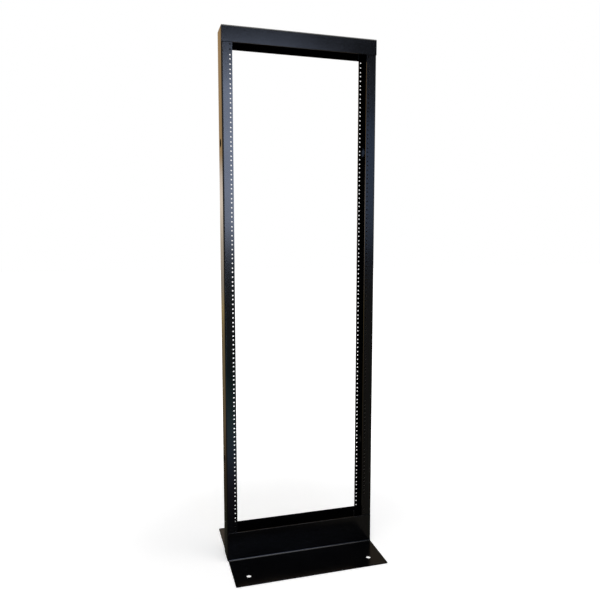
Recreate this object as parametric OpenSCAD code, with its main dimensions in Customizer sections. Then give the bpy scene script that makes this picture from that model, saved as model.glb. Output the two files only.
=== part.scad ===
// Two post open frame rack, 19 inch, welded from folded steel sheet.
// Frame: X to the right, Y towards the back, Z up. The origin lies on the floor, midway
// between the posts and midway between the front and the back.

/* [Rack] */
// Number of rack units between the base and the top channel
rack_units = 36; // [10:1:45]
// Clear width between the two posts
opening_w = 451; // [450:0.5:454]

/* [Posts] */
// Depth of a post, from front face to back face
post_depth = 75; // [60:1:150]
// Width of a post seen from the front
post_w = 35; // [28:0.5:60]
// Sheet thickness of the posts
post_t = 3; // [2:0.1:4]
// Inside radius of the posts' folds
post_bend_r = 2; // [1:0.1:5]
// Clearance between a post's upper end and the folds of the top channel
end_gap = 1.5; // [0:0.1:4]

/* [Mounting holes] */
// Distance from a flange's inner edge to the middle of its column of holes
hole_edge = 7.05; // [6.5:0.05:7.5]
// Longer distance between neighbouring holes in a column
hole_step = 15.875; // [15.5:0.005:16]
// Clear diameter of a tapped mounting hole
hole_d = 4.8; // [4.5:0.1:7]

/* [Web holes] */
// Diameter of the large holes in the posts' webs
web_hole_d = 28; // [15:0.5:45]
// Height of the lower web hole above the floor
web_hole_z = 347; // [150:1:450]
// Distance from the top of the rack down to the upper web hole
web_hole_drop = 355; // [100:1:400]

/* [Top channel] */
// Height of the top channel
top_h = 51; // [30:1:100]
// Sheet thickness of the top channel
top_t = 3; // [2:0.1:4]
// Inside radius of the top channel's folds
top_bend_r = 2; // [1:0.1:5]
// How far each end of the top channel stays inside the post's side face
top_inset = 1; // [0:0.1:2]

/* [Base angles] */
// Height of a base angle's upright leg above the floor
leg_h = 100; // [60:1:160]
// Reach of the foot, from the leg's outer face to the foot's free edge
foot_reach = 154; // [100:1:250]
// Sheet thickness of the base angles
base_t = 3; // [2:0.1:5]
// Inside radius of the fold between leg and foot
base_bend_r = 3; // [1:0.1:6]
// How far each end of a base angle stays inside the post's side face
base_inset = 2.5; // [0:0.1:3]
// Radius of the foot's two free corners
foot_corner_r = 3; // [1:0.5:20]

/* [Floor holes] */
// Diameter of the floor anchor holes
anchor_d = 16; // [8:0.5:25]
// Distance from the foot's end to the anchor hole's centre
anchor_side = 50; // [30:1:100]
// Distance from the foot's free edge to the anchor hole's centre
anchor_edge = 50; // [25:1:75]

/* [Welds] */
// Leg size of the fillet welds
weld_leg = 3; // [2:0.1:5]
// Length of a fillet weld behind a base angle's leg
base_weld_len = 70; // [30:1:90]
// Length of a fillet weld inside the top channel
top_weld_len = 34; // [15:1:40]

/* [Hidden] */

$fn = 48;
over = 1;                                   // how far cutters stick out
unit_h = 44.45;                             // one rack unit, the same on every 19-inch rack
steel = [0.06, 0.06, 0.065];
bead = [0.10, 0.10, 0.105];

rack_w = opening_w + 2 * post_w;            // over both posts
opening_h = rack_units * unit_h;
top_z0 = leg_h + opening_h;                 // lower edge of the top channel
rack_h = top_z0 + top_h;
under_top = rack_h - top_t;                 // underside of the top channel's web
post_len = under_top - top_bend_r - end_gap;
top_len = rack_w - 2 * top_inset;
base_len = rack_w - 2 * base_inset;
seam_y = post_depth / 2;                    // plane where angles and channel lap on the posts
leg_y = seam_y + base_t;                    // outer face of a base angle's leg
hole_x = opening_w / 2 + hole_edge;         // columns 465.1 apart, as the 19-inch standard has them
unit_margin = unit_h / 2 - hole_step;       // from a unit's edge to its first hole
hole_z = [for (u = [0 : rack_units - 1], k = [0 : 2]) leg_h + u * unit_h + unit_margin + k * hole_step];
anchor_x = base_len / 2 - anchor_side;
anchor_y = leg_y + foot_reach - anchor_edge;

// Quarter ring of a fold: the centre of the bend at the origin, the ring in the -x -y quadrant
module fold_2d(t, r) {
    intersection() {
        difference() {
            circle(r = r + t);
            circle(r = r);
        }
        translate([-(r + t), -(r + t)]) square(r + t);
    }
}

// Folded channel in section: its web on the y axis, its flanges reaching towards +x
module channel_2d(depth, reach, t, r) {
    bend = r + t;
    translate([0, bend - depth / 2]) square([t, depth - 2 * bend]);
    for (side = [0, 1]) mirror([0, side]) {
        translate([bend, -depth / 2]) square([reach - bend, t]);
        translate([bend, bend - depth / 2]) fold_2d(t, r);
    }
}

// Folded angle in section: leg up along +y, foot along the negative x axis, both outside the bend
module angle_2d(leg, foot, t, r) {
    bend = r + t;
    translate([-t, bend]) square([t, leg - bend]);
    translate([-foot, 0]) square([foot - bend, t]);
    mirror([1, 0]) translate([bend, bend]) fold_2d(t, r);
}

// Left post, open to the right
module post() {
    color(steel) difference() {
        translate([-rack_w / 2, 0, 0]) linear_extrude(post_len)
            channel_2d(post_depth, post_w, post_t, post_bend_r);
        for (z = hole_z) translate([-hole_x, 0, z]) rotate([90, 0, 0])
            cylinder(h = post_depth + 2 * over, d = hole_d, center = true, $fn = 24);
        for (z = [web_hole_z, rack_h - web_hole_drop]) translate([-rack_w / 2 - over, 0, z])
            rotate([0, 90, 0]) cylinder(h = post_t + 2 * over, d = web_hole_d);
    }
}

module left_post() { post(); }
module right_post() { mirror([1, 0, 0]) post(); }

// The top channel opens downward, and its skirts lap on the posts' flanges
module top_channel() {
    color(steel) translate([-top_len / 2, 0, rack_h]) rotate([0, 90, 0]) linear_extrude(top_len)
        channel_2d(post_depth + 2 * top_t, top_h, top_t, top_bend_r);
}

// Front base angle, with its foot towards -y
module base_angle() {
    foot_y = leg_y + foot_reach;
    color(steel) difference() {
        translate([-base_len / 2, -seam_y, 0]) rotate([90, 0, 90]) linear_extrude(base_len)
            angle_2d(leg_h, foot_reach + base_t, base_t, base_bend_r);
        for (side = [-1, 1]) {
            translate([side * anchor_x, -anchor_y, -over])
                cylinder(h = base_t + 2 * over, d = anchor_d);
            translate([side * base_len / 2, -foot_y, -over]) rotate([0, 0, side > 0 ? 90 : 0])
                corner_cut(foot_corner_r, base_t + 2 * over);
        }
    }
}

// What is cut away to round a square corner that lies at the origin in the +x +y quadrant
module corner_cut(r, h) {
    linear_extrude(h) difference() {
        translate([-over, -over]) square(r + over);
        translate([r, r]) circle(r);
    }
}

module front_base_angle() { base_angle(); }
module rear_base_angle() { mirror([0, 1, 0]) base_angle(); }

// Fillet weld along z, in the front left corner between a flange's inner edge and the sheet
// lapped on it, with a slightly hollow face
module fillet_weld(z0, len) {
    face_mid = 1.35 * weld_leg;
    face_r = 1.12 * weld_leg;
    color(bead) translate([-opening_w / 2, -seam_y, z0]) linear_extrude(len) difference() {
        square(weld_leg);
        translate([face_mid, face_mid]) circle(r = face_r);
    }
}

module base_fillet() { fillet_weld((leg_h - base_weld_len) / 2, base_weld_len); }
module front_left_base_weld() { base_fillet(); }
module front_right_base_weld() { mirror([1, 0, 0]) base_fillet(); }
module rear_left_base_weld() { mirror([0, 1, 0]) base_fillet(); }
module rear_right_base_weld() { rotate([0, 0, 180]) base_fillet(); }

module top_fillet() { fillet_weld(top_z0 + (post_len - top_z0 - top_weld_len) / 2, top_weld_len); }
module front_left_top_weld() { top_fillet(); }
module front_right_top_weld() { mirror([1, 0, 0]) top_fillet(); }
module rear_left_top_weld() { mirror([0, 1, 0]) top_fillet(); }
module rear_right_top_weld() { rotate([0, 0, 180]) top_fillet(); }

// Seam weld that closes the gap between the post's web and the top channel, ground flush
module left_end_weld() {
    len = post_depth - 2 * (post_bend_r + post_t);
    color(bead) translate([-rack_w / 2, -len / 2, post_len])
        cube([post_t, len, under_top - post_len]);
}
module right_end_weld() { mirror([1, 0, 0]) left_end_weld(); }

left_post();
right_post();
top_channel();
front_base_angle();
rear_base_angle();
front_left_base_weld();
front_right_base_weld();
rear_left_base_weld();
rear_right_base_weld();
front_left_top_weld();
front_right_top_weld();
rear_left_top_weld();
rear_right_top_weld();
left_end_weld();
right_end_weld();
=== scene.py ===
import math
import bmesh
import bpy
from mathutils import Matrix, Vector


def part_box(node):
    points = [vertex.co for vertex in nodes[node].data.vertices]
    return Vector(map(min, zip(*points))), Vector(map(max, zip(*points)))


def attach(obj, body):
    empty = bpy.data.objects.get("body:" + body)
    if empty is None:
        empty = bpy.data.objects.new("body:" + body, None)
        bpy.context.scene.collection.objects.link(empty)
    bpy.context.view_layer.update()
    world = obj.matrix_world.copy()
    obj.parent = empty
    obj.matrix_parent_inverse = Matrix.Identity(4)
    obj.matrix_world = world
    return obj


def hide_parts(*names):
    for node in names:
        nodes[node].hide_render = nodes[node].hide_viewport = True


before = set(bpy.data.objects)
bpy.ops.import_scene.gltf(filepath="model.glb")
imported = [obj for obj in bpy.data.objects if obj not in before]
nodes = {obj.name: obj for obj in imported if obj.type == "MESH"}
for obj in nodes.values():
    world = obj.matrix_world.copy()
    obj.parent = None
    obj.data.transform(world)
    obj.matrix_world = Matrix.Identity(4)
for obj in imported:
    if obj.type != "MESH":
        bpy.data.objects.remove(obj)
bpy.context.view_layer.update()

# %% [markdown]
# # Two post open frame rack
# The real rack is welded from five folded sheets of steel: two channel posts, a top channel and
# two base angles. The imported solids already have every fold, hole and lap in its true place, so
# they could be shown as they are with a new material. What they lack is what the press brake, the
# welder and the paint line leave behind: cut edges with the sharpness taken off, rippled weld
# beads, tapped holes and the orange peel of powder coat. Those are what this lesson adds.

MM = 0.001

# %% [markdown]
# ## Helpers for node trees
# Each finish is a small node tree. It could be clicked together in the shader editor. In code, one
# helper that makes a node, sets its fields and joins its inputs keeps a tree readable, because a
# finish then reads from top to bottom in the order in which light meets it.

# %% Node helpers
def new_tree(name):
    material = bpy.data.materials.new(name)
    material.use_nodes = True
    material.node_tree.nodes.clear()
    return material, material.node_tree


def add_node(tree, kind, inputs=None, **fields):
    node = tree.nodes.new(kind)
    for field, value in fields.items():
        setattr(node, field, value)
    for socket, value in (inputs or {}).items():
        if isinstance(value, bpy.types.NodeSocket):
            tree.links.new(value, node.inputs[socket])
        else:
            node.inputs[socket].default_value = value
    return node


def add_math(tree, operation, first, second):
    return add_node(tree, "ShaderNodeMath", {0: first, 1: second}, operation=operation).outputs[0]


def add_range(tree, value, start, end, low, high):
    limits = {"Value": value, "From Min": start, "From Max": end, "To Min": low, "To Max": high}
    node = add_node(tree, "ShaderNodeMapRange", limits, interpolation_type="SMOOTHSTEP")
    return node.outputs["Result"]


def add_mix(tree, factor, first, second):
    node = add_node(tree, "ShaderNodeMix", {"Factor": factor, 6: first, 7: second}, data_type="RGBA")
    return node.outputs[2]


def close_tree(tree, shader):
    end = add_node(tree, "ShaderNodeOutputMaterial")
    tree.links.new(shader.outputs[0], end.inputs["Surface"])


print("node helpers ready")

# %% [markdown]
# ## Black powder coat
# Powder coat is a plastic skin, baked onto the steel. This one is black with a half gloss. Its
# surface has orange peel, soft bumps two or three millimetres across and a few microns high, and
# under them a finer grain. Where a hand or a cloth has been over it the gloss changes a little,
# and along a cut edge the skin is thinner and duller. An image of all this would blur close up. The
# noise nodes work in metres on Object coordinates, so every sheet gets the same peel, and a
# corner attribute named cut_edge tells the material where the thin skin is.

# %% The powder coat
DEEP_BLACK = (0.0008, 0.0008, 0.0011, 1.0)
HANDLED_BLACK = (0.0014, 0.0014, 0.0016, 1.0)
THIN_COAT = (0.0060, 0.0058, 0.0056, 1.0)
PEEL_SCALE = 420.0       # bumps to a metre: one every 2.4 mm
GRAIN_SCALE = 2600.0
SMEAR_SCALE = 9.0
CHIP_SCALE = 160.0
COAT_IOR = 1.5
HANDLED_FROM, HANDLED_FULL = 0.4, 0.7
SMEAR_SPREAD = (0.3, 0.7)
CHIP_SPREAD = (0.45, 0.62)
LEAST_THIN = 0.2
THIN_DULLS = 0.12
GRAIN_SHARE = 0.1
PEEL_STRENGTH = 0.5


def add_noise(tree, place, scale, detail):
    inputs = {"Vector": place, "Scale": scale, "Detail": detail, "Roughness": 0.55}
    return add_node(tree, "ShaderNodeTexNoise", inputs).outputs["Fac"]


def powder_coat(name, gloss_low, gloss_high, peel_depth, thread_pitch=None):
    material, tree = new_tree(name)
    place = add_node(tree, "ShaderNodeTexCoord").outputs["Object"]
    smear = add_noise(tree, place, SMEAR_SCALE, 4.0)
    chips = add_noise(tree, place, CHIP_SCALE, 3.0)
    cut = add_node(tree, "ShaderNodeAttribute", attribute_name="cut_edge").outputs["Fac"]
    thin = add_math(tree, "MULTIPLY", cut, add_range(tree, chips, *CHIP_SPREAD, LEAST_THIN, 1.0))
    handled = add_range(tree, smear, HANDLED_FROM, HANDLED_FULL, 0.0, 1.0)
    black = add_mix(tree, handled, DEEP_BLACK, HANDLED_BLACK)
    colour = add_mix(tree, thin, black, THIN_COAT)
    gloss = add_range(tree, smear, *SMEAR_SPREAD, gloss_low, gloss_high)
    gloss = add_math(tree, "ADD", gloss, add_math(tree, "MULTIPLY", thin, THIN_DULLS))
    peel = add_noise(tree, place, PEEL_SCALE, 2.0)
    grain = add_math(tree, "MULTIPLY", add_noise(tree, place, GRAIN_SCALE, 1.0), GRAIN_SHARE)
    bumps = add_math(tree, "ADD", peel, grain)
    height = {"Height": bumps, "Strength": PEEL_STRENGTH, "Distance": peel_depth}
    skin = add_node(tree, "ShaderNodeBump", height).outputs["Normal"]
    if thread_pitch:
        turns = {"Vector": place, "Scale": thread_scale(thread_pitch)}
        ridges = add_node(tree, "ShaderNodeTexWave", turns, bands_direction="Y").outputs["Fac"]
        cut_thread = {"Height": ridges, "Strength": 1.0, "Distance": thread_pitch / 3, "Normal": skin}
        skin = add_node(tree, "ShaderNodeBump", cut_thread).outputs["Normal"]
    inputs = {"Base Color": colour, "Roughness": gloss, "IOR": COAT_IOR, "Normal": skin}
    close_tree(tree, add_node(tree, "ShaderNodeBsdfPrincipled", inputs))
    return material


def thread_scale(pitch):
    # the wave node makes one band each 2 pi / 20 at a scale of 1
    return 2 * math.pi / (20 * pitch)


SHEET_COAT = powder_coat("black_powder_coat_finish", 0.15, 0.18, 0.03 * MM)
print("finish", SHEET_COAT.name)

# %% [markdown]
# ## Two more finishes from the same coat
# The powder also covers the welds and the holes. On a weld it lies thicker and less even, so the
# bead is a little duller. In a mounting hole it lies over a thread. The rack has 432 of them, so
# modelled threads would be far too many faces. Each hole keeps its plain wall, and a wave across
# the sheet, one band to each turn of the thread, bends the light there instead.

# %% Coats for welds and tapped holes
THREAD_PITCH = 1.06 * MM
BEAD_COAT = powder_coat("weld_bead_finish", 0.22, 0.30, 0.05 * MM)
HOLE_COAT = powder_coat("tapped_hole_finish", 0.25, 0.32, 0.02 * MM, THREAD_PITCH)
print("finishes", BEAD_COAT.name, "and", HOLE_COAT.name)

# %% [markdown]
# ## Sheets with softened edges
# A laser leaves a sharp edge and the shop takes it off, so each cut edge ends in a narrow round
# that catches a thin line of light. A Bevel modifier would round the rims of the 432 small holes
# too, and make the mesh heavy for something nobody can see. So each sheet is copied, its loose
# triangles are merged into whole faces, and bmesh bevels only the edges that are chosen: steep
# ones, and on the posts only those longer than a millimetre. The copy stands for the solid.

# %% Copy a solid as whole faces
STEEP = math.radians(40)
JOIN = 0.002 * MM
FLAT = math.radians(0.5)


def merged_copy(node_name):
    shell = bmesh.new()
    shell.from_mesh(nodes[node_name].data)
    bmesh.ops.remove_doubles(shell, verts=shell.verts, dist=JOIN)
    bmesh.ops.dissolve_limit(shell, angle_limit=FLAT, verts=shell.verts, edges=shell.edges)
    return shell


trial = merged_copy("top_channel")
loose = len(nodes["top_channel"].data.polygons)
print("top channel:", loose, "triangles become", len(trial.faces), "faces")
trial.free()

# %% [markdown]
# ## The round itself
# On the real sheet the round is under half a millimetre wide. It could be left to the bump of the
# finish, but only a real strip of faces draws a line of light and shows in the mesh that is kept.
# The new strips are marked in a corner attribute, which stops at the strip's border, where a
# vertex attribute would bleed out over the large faces beside it.

# %% Round the cut edges
CUT_ROUND = 0.4 * MM
ROUND_STEPS = 3


def soften_edges(shell, shortest):
    cuts = [e for e in shell.edges if e.calc_face_angle() > STEEP and e.calc_length() > shortest]
    made = bmesh.ops.bevel(
        shell,
        geom=cuts,
        affect="EDGES",
        offset=CUT_ROUND,
        offset_type="OFFSET",
        segments=ROUND_STEPS,
        profile=0.5,
        material=-1,
        clamp_overlap=True,
    )
    mark = shell.loops.layers.float.new("cut_edge")
    for face in made["faces"]:
        for corner in face.loops:
            corner[mark] = 1.0
    return len(cuts)


print("cut edges get a round of", CUT_ROUND / MM, "mm")

# %% [markdown]
# ## Smooth folds and flat faces
# A fold is a strip of narrow faces and has to look round, while the sheet beside it has to stay
# flat. Smooth shading alone would bend the light over the flat part too. Weighted normals let the
# large faces decide, so the shade turns only in the folds and the rounded edges.

# %% Put a finished shell in the scene
SMOOTH_UP_TO = math.radians(50)


def finish_piece(shell, name, coats, replaced):
    mesh = bpy.data.meshes.new(name)
    shell.to_mesh(mesh)
    shell.free()
    for coat in coats:
        mesh.materials.append(coat)
    mesh.polygons.foreach_set("use_smooth", [True] * len(mesh.polygons))
    mesh.set_sharp_from_angle(angle=SMOOTH_UP_TO)
    piece = bpy.data.objects.new(name, mesh)
    bpy.context.scene.collection.objects.link(piece)
    weights = piece.modifiers.new("flat_faces_decide", "WEIGHTED_NORMAL")
    weights.keep_sharp = True
    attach(piece, "root")
    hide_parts(replaced)
    return piece


print("edges under 50 degrees shade smooth")

# %% [markdown]
# ## The five sheets
# Two posts, the top channel and two base angles. Each could be folded up here from a flat sheet,
# but its solid is exact already, so its copy only gets rounded edges. A post has a second finish:
# the short flat faces that stand across the sheet on the line of a hole column are hole walls, and
# they take the tapped finish.

# %% Make the sheets
HOLE_REACH = 2.6 * MM
HOLE_COLUMNS_APART = 465.1 * MM
SHORTEST_CUT = 1.0 * MM


def is_hole_wall(face):
    middle = face.calc_center_median()
    on_column = abs(abs(middle.x) - HOLE_COLUMNS_APART / 2) < HOLE_REACH
    across_sheet = abs(face.normal.y) < 0.1
    return on_column and across_sheet and len(face.verts) == 4


for name in ("left_post", "right_post", "top_channel", "front_base_angle", "rear_base_angle"):
    is_post = name.endswith("post")
    shell = merged_copy(name)
    rounded = soften_edges(shell, SHORTEST_CUT if is_post else 0.0)
    coats = [SHEET_COAT, HOLE_COAT] if is_post else [SHEET_COAT]
    walls = [f for f in shell.faces if is_hole_wall(f)] if is_post else []
    for wall in walls:
        wall.material_index = 1
    piece = finish_piece(shell, name + "_sheet", coats, name)
    print(piece.name, rounded, "edges rounded,", len(walls), "hole wall faces")

# %% [markdown]
# ## Weld beads
# Where a post's flange ends on the sheet lapped over it, a bead 3 mm each way fills the corner. A
# welder lays it as a row of overlapping pools, so it shows ripples that bow along the bead, and it
# swells and thins at its ends. A row of squashed spheres would give the look but leave hundreds of
# shells inside each other. Here a round bar is cut into rings, each ring is drawn in or let out,
# and two cuts along the steel leave the part that stands in the corner, closed again.

# %% Shape a rippled bar
BEAD_LEG = 3.0 * MM
BAR_RADIUS = 1.7 * BEAD_LEG      # with its centre this deep in the steel, the bar bulges a little
BAR_SINK = 0.6 * BEAD_LEG
BAR_SIDES = 60
POOL_LENGTH = 2.2 * MM
RINGS_TO_POOL = 5
POOL_DEPTH = 0.28 * MM
POOL_BOW = 0.8 * MM
POOL_FLOOR = 1.5                 # the valley between two pools lies this many depths below full
HAND_SWAY = 0.5                  # slow swell of a hand-held torch, as a share of the depth
SWAY_TO_POOL = 0.9
END_LENGTH = 4.0 * MM
END_RADIUS = 0.55 * BAR_RADIUS
FACE_MIDDLE = math.radians(45)
FACE_HALF = math.radians(25)


def pool_height(along, length, pools):
    step = (along * pools) % 1.0
    sway = HAND_SWAY * math.sin(SWAY_TO_POOL * pools * along) * POOL_DEPTH
    lobe = math.sqrt(max(0.0, 1.0 - (2.0 * step - 1.0) ** 2))
    end = min(1.0, max(0.0, min(along, 1.0 - along) * length / END_LENGTH))
    full = BAR_RADIUS - POOL_DEPTH * (POOL_FLOOR - lobe) + sway
    rise = math.sqrt(1.0 - (1.0 - end) ** 2)
    return END_RADIUS + (full - END_RADIUS) * rise, end


def rippled_bar(length):
    pools = round(length / POOL_LENGTH)
    bar = bmesh.new()
    radii = {"radius1": 1.0, "radius2": 1.0, "depth": length}
    bmesh.ops.create_cone(bar, cap_ends=True, segments=BAR_SIDES, **radii)
    uprights = [e for e in bar.edges if abs(e.verts[0].co.z - e.verts[1].co.z) > length / 2]
    bmesh.ops.subdivide_edges(bar, edges=uprights, cuts=pools * RINGS_TO_POOL - 1)
    for vert in bar.verts:
        radius, end = pool_height(vert.co.z / length + 0.5, length, pools)
        off = (math.atan2(vert.co.y, vert.co.x) - FACE_MIDDLE) / FACE_HALF
        bow = end * POOL_BOW * max(0.0, 1.0 - off * off)
        vert.co = Vector((vert.co.x * radius, vert.co.y * radius, vert.co.z + bow))
    return bar


trial = rippled_bar(0.070)
print("a bar of 70 mm has", len(trial.faces), "faces before it is cut")
trial.free()

# %% [markdown]
# ## Into the corner
# The bead is what shows of the bar: a quarter that stands between the flange's edge and the sheet.
# A boolean with the steel would do, but two plane cuts give cleaner faces. Each cut leaves a hole
# along the steel, which is filled at once, so the bead stays a closed body. All eight beads come
# from one bar: it is mirrored towards its corner, and its normals are recalculated after that.

# %% Cut the bar to its corner
def keep_side(shell, direction):
    whole = list(shell.verts) + list(shell.edges) + list(shell.faces)
    cut = {"plane_co": (0, 0, 0), "plane_no": direction, "clear_inner": True}
    made = bmesh.ops.bisect_plane(shell, geom=whole, dist=JOIN / 10, **cut)
    rim = [part for part in made["geom_cut"] if isinstance(part, bmesh.types.BMEdge)]
    bmesh.ops.edgeloop_fill(shell, edges=rim)


def weld_bead(node_name):
    low, high = (Vector(corner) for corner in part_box(node_name))
    middle = (low + high) / 2
    side = Vector((math.copysign(1, middle.x), math.copysign(1, middle.y), 0))
    half = (high - low) / 2
    corner = Vector((middle.x + side.x * half.x, middle.y + side.y * half.y, middle.z))
    bead = rippled_bar(high.z - low.z)
    bmesh.ops.translate(bead, vec=(-BAR_SINK, -BAR_SINK, 0), verts=bead.verts)
    keep_side(bead, (1, 0, 0))
    keep_side(bead, (0, 1, 0))
    bmesh.ops.scale(bead, vec=(-side.x, -side.y, 1), verts=bead.verts)
    bmesh.ops.translate(bead, vec=corner, verts=bead.verts)
    bmesh.ops.recalc_face_normals(bead, faces=bead.faces)
    return finish_piece(bead, node_name + "_bead", [BEAD_COAT], node_name)


bead_nodes = [name for name in nodes if name.endswith(("base_weld", "top_weld"))]
for name in bead_nodes:
    bead = weld_bead(name)
    print(bead.name, len(bead.data.polygons), "faces")

# %% [markdown]
# ## The ground seams
# At the top of each post a weld closes the gap between the post's side and the top channel. It is
# ground flush there, so its plain solid has the right shape already and only gets the finish.

# %% Finish the seams
for name in ("left_end_weld", "right_end_weld"):
    seam = nodes[name].data.materials
    seam.clear()
    seam.append(BEAD_COAT)
    print(name, "finished with", BEAD_COAT.name)

# %% [markdown]
# ## The white floor
# The rack stands on a floor that looks pure white, with only a faint shadow at the feet. More light
# would wash the black out, so the floor glows instead, and only for rays that come from the camera
# or off a glossy or clear surface. Close to the rack half of its white is real light on a matt
# surface, which the shadow can take away. Further out the glow alone is white.

# %% A flat sheet for the studio
def flat_sheet(name, place, width, height, finish):
    mesh = bpy.data.meshes.new(name)
    sheet = bmesh.new()
    bmesh.ops.create_grid(sheet, x_segments=1, y_segments=1, size=0.5)
    bmesh.ops.scale(sheet, vec=(width, height, 1.0), verts=sheet.verts)
    bmesh.ops.transform(sheet, matrix=place, verts=sheet.verts)
    sheet.to_mesh(mesh)
    sheet.free()
    mesh.materials.append(finish)
    thing = bpy.data.objects.new(name, mesh)
    bpy.context.scene.collection.objects.link(thing)
    return thing


print("flat sheets are ready for the floor and the cards")

# %% The floor
FLOOR_SIZE = 40.0
FLOOR_DROP = 0.5 * MM
FLOOR_PAINT = (0.8, 0.8, 0.8, 1.0)
NEAR_GLOW = 0.5
SHADOW_ENDS = (0.4, 1.4)


def seen_rays(tree):
    path = add_node(tree, "ShaderNodeLightPath").outputs
    mirrored = add_math(tree, "MAXIMUM", path["Is Glossy Ray"], path["Is Transmission Ray"])
    return add_math(tree, "MAXIMUM", path["Is Camera Ray"], mirrored)


def floor_finish():
    material, tree = new_tree("pale_floor_finish")
    place = add_node(tree, "ShaderNodeTexCoord").outputs["Object"]
    away = add_node(tree, "ShaderNodeVectorMath", {0: place}, operation="LENGTH").outputs["Value"]
    share = add_range(tree, away, *SHADOW_ENDS, NEAR_GLOW, 1.0)
    glow = add_math(tree, "MULTIPLY", share, seen_rays(tree))
    white = add_node(tree, "ShaderNodeEmission", {"Strength": glow})
    matt = add_node(tree, "ShaderNodeBsdfDiffuse", {"Color": FLOOR_PAINT})
    close_tree(tree, add_node(tree, "ShaderNodeAddShader", {0: white.outputs[0], 1: matt.outputs[0]}))
    return material


floor_place = Matrix.Translation((0, 0, -FLOOR_DROP))
flat_sheet("floor", floor_place, FLOOR_SIZE, FLOOR_SIZE, floor_finish())
print("floor", FLOOR_SIZE, "m square")

# %% [markdown]
# ## The air around
# The world is white to the eye, like the floor, and gives the rack only a little even light from
# all sides. A dome of full white light would be simpler, but it would lift the black on every face
# alike and take away its depth.

# %% The air
AIR_LIGHT = 0.3
world = bpy.data.worlds.new("studio_air")
bpy.context.scene.world = world
world.use_nodes = True
world.node_tree.nodes.clear()
air = add_range(world.node_tree, seen_rays(world.node_tree), 0.0, 1.0, AIR_LIGHT, 1.0)
sky = add_node(world.node_tree, "ShaderNodeBackground", {"Color": (1, 1, 1, 1), "Strength": air})
add_node(world.node_tree, "ShaderNodeOutputWorld", {"Surface": sky.outputs[0]})
print("air gives", AIR_LIGHT, "to the rack and white to the eye")

# %% [markdown]
# ## The room in the gloss
# A half gloss black sheet has hardly any colour of its own. What is seen on it is the room, faint
# and blurred: a cool window far in front on the posts and the top channel, a warm wall behind on
# the left side, a dim room everywhere else. A plain white studio would turn the black to grey. So
# six cards stand around the rack with that room painted on them as painted reflections: they glow,
# though they are no lamps, and show up in reflections only, so the background stays white and no
# light or shadow of theirs reaches the rack.

# %% Painted cards
# painted reflection: the dim room, as a glow seen only in gloss
DIM_ROOM_REFLECTION = (0.09, 0.095, 0.105, 1.0)
PATCH_CORE = 0.3


def add_ramp(tree, value, low, high, stops):
    share = add_node(tree, "ShaderNodeMapRange", {"Value": value, "From Min": low, "From Max": high})
    ramp = add_node(tree, "ShaderNodeValToRGB", {"Fac": share.outputs["Result"]})
    marks = ramp.color_ramp.elements
    while len(marks) < len(stops):
        marks.new(0.5)
    for mark, (position, red, green, blue) in zip(marks, stops):
        mark.position = position
        mark.color = (red, green, blue, 1.0)
    return ramp.outputs["Color"]


def add_patch(tree, place, under, centre, reach, colour):
    ends = {0: place, 1: centre}
    away = add_node(tree, "ShaderNodeVectorMath", ends, operation="DISTANCE").outputs["Value"]
    inside = add_range(tree, away, PATCH_CORE * reach, reach, 1.0, 0.0)
    return add_mix(tree, inside, under, colour)


def reflection_card_finish(name, paint):
    material, tree = new_tree(name)
    place = add_node(tree, "ShaderNodeTexCoord").outputs["Object"]
    axes = add_node(tree, "ShaderNodeSeparateXYZ", {0: place}).outputs
    close_tree(tree, add_node(tree, "ShaderNodeEmission", {"Color": paint(tree, place, axes)}))
    return material


# each card glows, is no lamp and shows only in reflections: a painted reflection
def reflection_only_card(name, place, width, height, paint):
    card = flat_sheet(name, place, width, height, reflection_card_finish(name + "_finish", paint))
    card.visible_camera = False
    card.visible_diffuse = False
    card.visible_transmission = False
    card.visible_volume_scatter = False
    card.visible_shadow = False
    print(name, width, "by", height, "m")
    return card


def upright(x, y, z, turn=0.0):
    tilt = Matrix.Rotation(math.radians(turn), 4, "Z") @ Matrix.Rotation(math.radians(90), 4, "X")
    return Matrix.Translation((x, y, z)) @ tilt


print("cards can be painted and hidden from all but reflections")

# %% [markdown]
# ## The painted reflection of the warm wall behind
# The left side face mirrors a wall behind the rack: dark by the floor, brightest at chest height,
# tan above. That light and shade is painted on a glowing card seen only in reflections, so it is a
# painted reflection. A picture of a room would do the same with more than is seen. One colour ramp
# over the height carries it, a plain brown takes over to the right, and a painted window glows far
# right, though it is no lamp, where only a look from behind finds it.

# %% The painted wall reflection behind
CARD_WIDTH, CARD_DEPTH, CARD_HEIGHT = 14.0, 22.0, 8.0
MIDDLE_X, MIDDLE_Y = 2.5, -7.5
REAR_X, REAR_Y = 2.0, 3.0
WALL_TOP = 3.0
WALL_TURNS = (-0.4, 0.45)
BACK_WINDOW_PLACE, BACK_WINDOW_REACH = (4.2, 3.0, 2.2), 1.8
# painted reflection of the wall: its light and shade by height, glowing on the rear card
WALL_REFLECTION_HEIGHTS = [
    (0.00, 0.27, 0.20, 0.10),
    (0.10, 0.36, 0.26, 0.13),
    (0.17, 0.56, 0.41, 0.18),
    (0.24, 0.50, 0.42, 0.33),
    (0.36, 0.88, 0.74, 0.58),
    (0.47, 1.48, 1.27, 1.06),
    (0.54, 1.15, 0.98, 0.82),
    (0.60, 0.68, 0.45, 0.22),
    (1.00, 0.69, 0.44, 0.21),
]
WALL_REFLECTION_RIGHT = (0.17, 0.135, 0.10, 1.0)
# painted reflection of a window: a glowing patch on the rear card, no lamp
BACK_WINDOW_REFLECTION = (1.1, 1.15, 1.25, 1.0)


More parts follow.
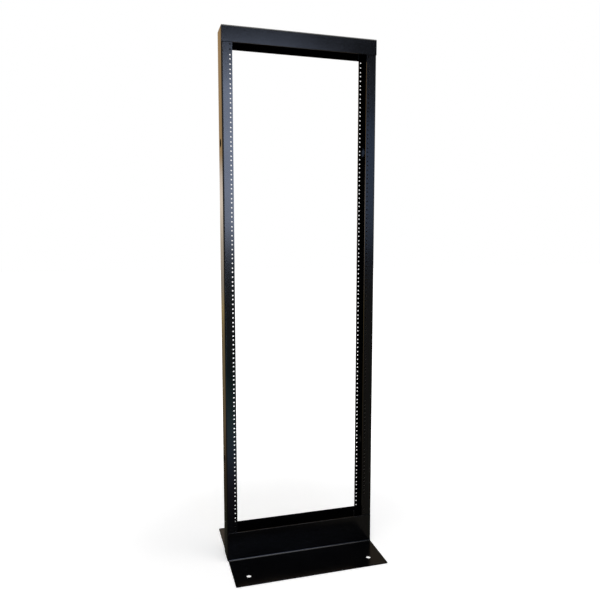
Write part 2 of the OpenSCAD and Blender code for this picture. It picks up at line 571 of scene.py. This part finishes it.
# paints the wall's reflection, with its window, onto the rear card
def painted_wall_reflection(tree, place, axes):
    wall = add_ramp(tree, axes["Z"], 0.0, WALL_TOP, WALL_REFLECTION_HEIGHTS)
    wall = add_mix(tree, add_range(tree, axes["X"], *WALL_TURNS, 0.0, 1.0), wall, WALL_REFLECTION_RIGHT)
    return add_patch(tree, place, wall, BACK_WINDOW_PLACE, BACK_WINDOW_REACH, BACK_WINDOW_REFLECTION)


rear_place = upright(REAR_X, REAR_Y, CARD_HEIGHT / 2)
reflection_only_card("rear_card", rear_place, CARD_WIDTH, CARD_HEIGHT, painted_wall_reflection)

# %% [markdown]
# ## The floor in the gloss
# The lower half of the posts mirrors the floor in front: dark near the feet, then a cool sheen
# where the window falls on it, then dim again. One colour ramp from front to back paints it on a
# glowing card seen only in reflections: a painted reflection, with the rack's shadow painted dark
# near the feet and the window's light painted as the cool sheen.

# %% The mirrored floor
# painted reflection of the floor: painted shadow of the rack near the feet, painted window light in
# front
FLOOR_REFLECTION_STRIPES = [
    (0.00, 0.02, 0.20, 0.25),
    (0.12, 0.10, 0.32, 0.33),
    (0.25, 0.36, 0.62, 0.66),
    (0.33, 0.32, 0.43, 0.66),
    (0.39, 0.16, 0.14, 0.20),
    (0.45, 0.03, 0.03, 0.03),
    (0.55, 0.03, 0.03, 0.02),
    (0.62, 0.07, 0.05, 0.03),
    (0.75, 0.22, 0.16, 0.09),
    (1.00, 0.27, 0.20, 0.10),
]
FLOOR_REFLECTION_RIGHT = (0.14, 0.13, 0.11, 1.0)
STRIPES_FROM, STRIPES_TO = -3.0, 3.0
FLOOR_TURNS = (-0.05, 0.35)


# paints the floor's reflection, with the rack's shadow and the window's light, onto the floor card
def painted_floor_reflection(tree, place, axes):
    stripes = add_ramp(tree, axes["Y"], STRIPES_FROM, STRIPES_TO, FLOOR_REFLECTION_STRIPES)
    return add_mix(tree, add_range(tree, axes["X"], *FLOOR_TURNS, 0.0, 1.0), stripes, FLOOR_REFLECTION_RIGHT)


low_place = Matrix.Translation((MIDDLE_X, MIDDLE_Y, 0.0))
reflection_only_card("floor_card", low_place, CARD_WIDTH, CARD_DEPTH, painted_floor_reflection)

# %% [markdown]
# ## The dim walls, painted for reflections
# To the left, right, front and overhead the room is dark, so the faces that look there stay black.
# These cards are painted reflections of a dim room. From other sides a rack that mirrors nothing
# would be a flat cut-out, so each of these cards has one soft painted window, glowing though it is
# no lamp, in a place that the front faces don't look at. This painted reflection shows the planes
# and folds.

# %% Four dim cards
# painted reflection of a window, glowing on each dim card though it is no lamp
SIDE_WINDOW_REFLECTION = (1.3, 1.4, 1.6, 1.0)
LEFT_X, RIGHT_X, FRONT_Y, TOP_Z = -3.5, 9.0, -18.0, 8.0
FRONT_HEIGHT = 10.0


def dim_wall_reflection(window_place, window_reach):
    def paint(tree, place, axes):
        return add_patch(tree, place, DIM_ROOM_REFLECTION, window_place, window_reach, SIDE_WINDOW_REFLECTION)
    return paint


left_place = upright(LEFT_X, MIDDLE_Y, CARD_HEIGHT / 2, 90.0)
right_place = upright(RIGHT_X, MIDDLE_Y, CARD_HEIGHT / 2, 90.0)
front_place = upright(MIDDLE_X, FRONT_Y, FRONT_HEIGHT / 2)
top_place = Matrix.Translation((MIDDLE_X, MIDDLE_Y, TOP_Z))
left_wall_reflection = dim_wall_reflection((LEFT_X, -3.6, 2.2), 2.2)
right_wall_reflection = dim_wall_reflection((RIGHT_X, -6.0, 3.0), 4.5)
front_wall_reflection = dim_wall_reflection((-3.0, FRONT_Y, 3.5), 2.5)
ceiling_reflection = dim_wall_reflection((0.0, 2.0, TOP_Z), 1.8)
reflection_only_card("left_card", left_place, CARD_DEPTH, CARD_HEIGHT, left_wall_reflection)
reflection_only_card("right_card", right_place, CARD_DEPTH, CARD_HEIGHT, right_wall_reflection)
reflection_only_card("front_card", front_place, CARD_WIDTH, FRONT_HEIGHT, front_wall_reflection)
reflection_only_card("top_card", top_place, CARD_WIDTH, CARD_DEPTH, ceiling_reflection)

# %% [markdown]
# ## A second, fainter window, painted for reflections
# The right post shows a dim blue sheen over its upper half. Widening the bright window would light
# the top channel's end as well, so a small plain card beside it stands for a second window. The
# card glows though it is no lamp and shows only in reflections, so that sheen is a painted
# reflection.

# %% The fainter window's painted reflection
WINDOW_Y = -16.0
# painted reflection: the glow of a second window, which gives the right post its blue sheen
FAINT_WINDOW_REFLECTION = (0.62, 0.90, 1.50, 1.0)


def faint_window_reflection(tree, place, axes):
    return FAINT_WINDOW_REFLECTION


reflection_only_card("faint_window_card", upright(6.9, WINDOW_Y, 3.1), 1.8, 4.0, faint_window_reflection)

# %% [markdown]
# ## Two soft lamps
# The tall window far in front is a real lamp: it lights the rack and draws the cool sheen with its
# sharp upper edge. A broad box overhead lights the feet and the floor. Area lamps give soft light
# from their size alone, and their strength is worked out from the brightness of their face, so a
# larger box gives more light but never a brighter reflection.

# %% Softboxes
def softbox(name, centre, target, width, height, colour, brightness):
    lamp = bpy.data.lights.new(name, "AREA")
    lamp.shape = "RECTANGLE"
    lamp.size = width
    lamp.size_y = height
    lamp.color = colour
    lamp.energy = brightness * math.pi * width * height
    box = bpy.data.objects.new(name, lamp)
    box.location = centre
    aim = Vector(target) - Vector(centre)
    box.rotation_euler = aim.to_track_quat("-Z", "Y").to_euler()
    bpy.context.scene.collection.objects.link(box)
    print(name, round(lamp.energy), "W")


COOL_WHITE = (0.62, 0.73, 1.0)
WARM_WHITE = (1.0, 0.98, 0.95)
WINDOW_X, WINDOW_Z = 2.85, 3.78
window_place, level_aim = (WINDOW_X, WINDOW_Y, WINDOW_Z), (WINDOW_X, 0.0, WINDOW_Z)
softbox("front_softbox", window_place, level_aim, 4.0, 5.35, COOL_WHITE, 6.8)
softbox("overhead_softbox", (0.2, -0.9, 3.4), (0.0, 0.0, 0.0), 2.4, 1.6, WARM_WHITE, 4.0)

# %% [markdown]
# ## The camera
# It stands a little left of the rack at chest height, turned right and tipped down a few degrees,
# so the left side face, the front and the tops of the feet all show.

# %% Camera
CAMERA_PLACE = (-0.5364, -1.9066, 1.0821)
CAMERA_TIP = 5.764
CAMERA_TURN = 15.854
LENS_MM = 34.871
lens = bpy.data.cameras.new("camera")
lens.sensor_width = 36.0
lens.lens = LENS_MM
camera = bpy.data.objects.new("camera", lens)
camera.location = CAMERA_PLACE
camera.rotation_euler = (math.radians(90 - CAMERA_TIP), 0.0, -math.radians(CAMERA_TURN))
bpy.context.scene.collection.objects.link(camera)
bpy.context.scene.camera = camera
bpy.context.scene.view_settings.view_transform = "Standard"
print("camera at", CAMERA_PLACE, "with a", LENS_MM, "mm lens")
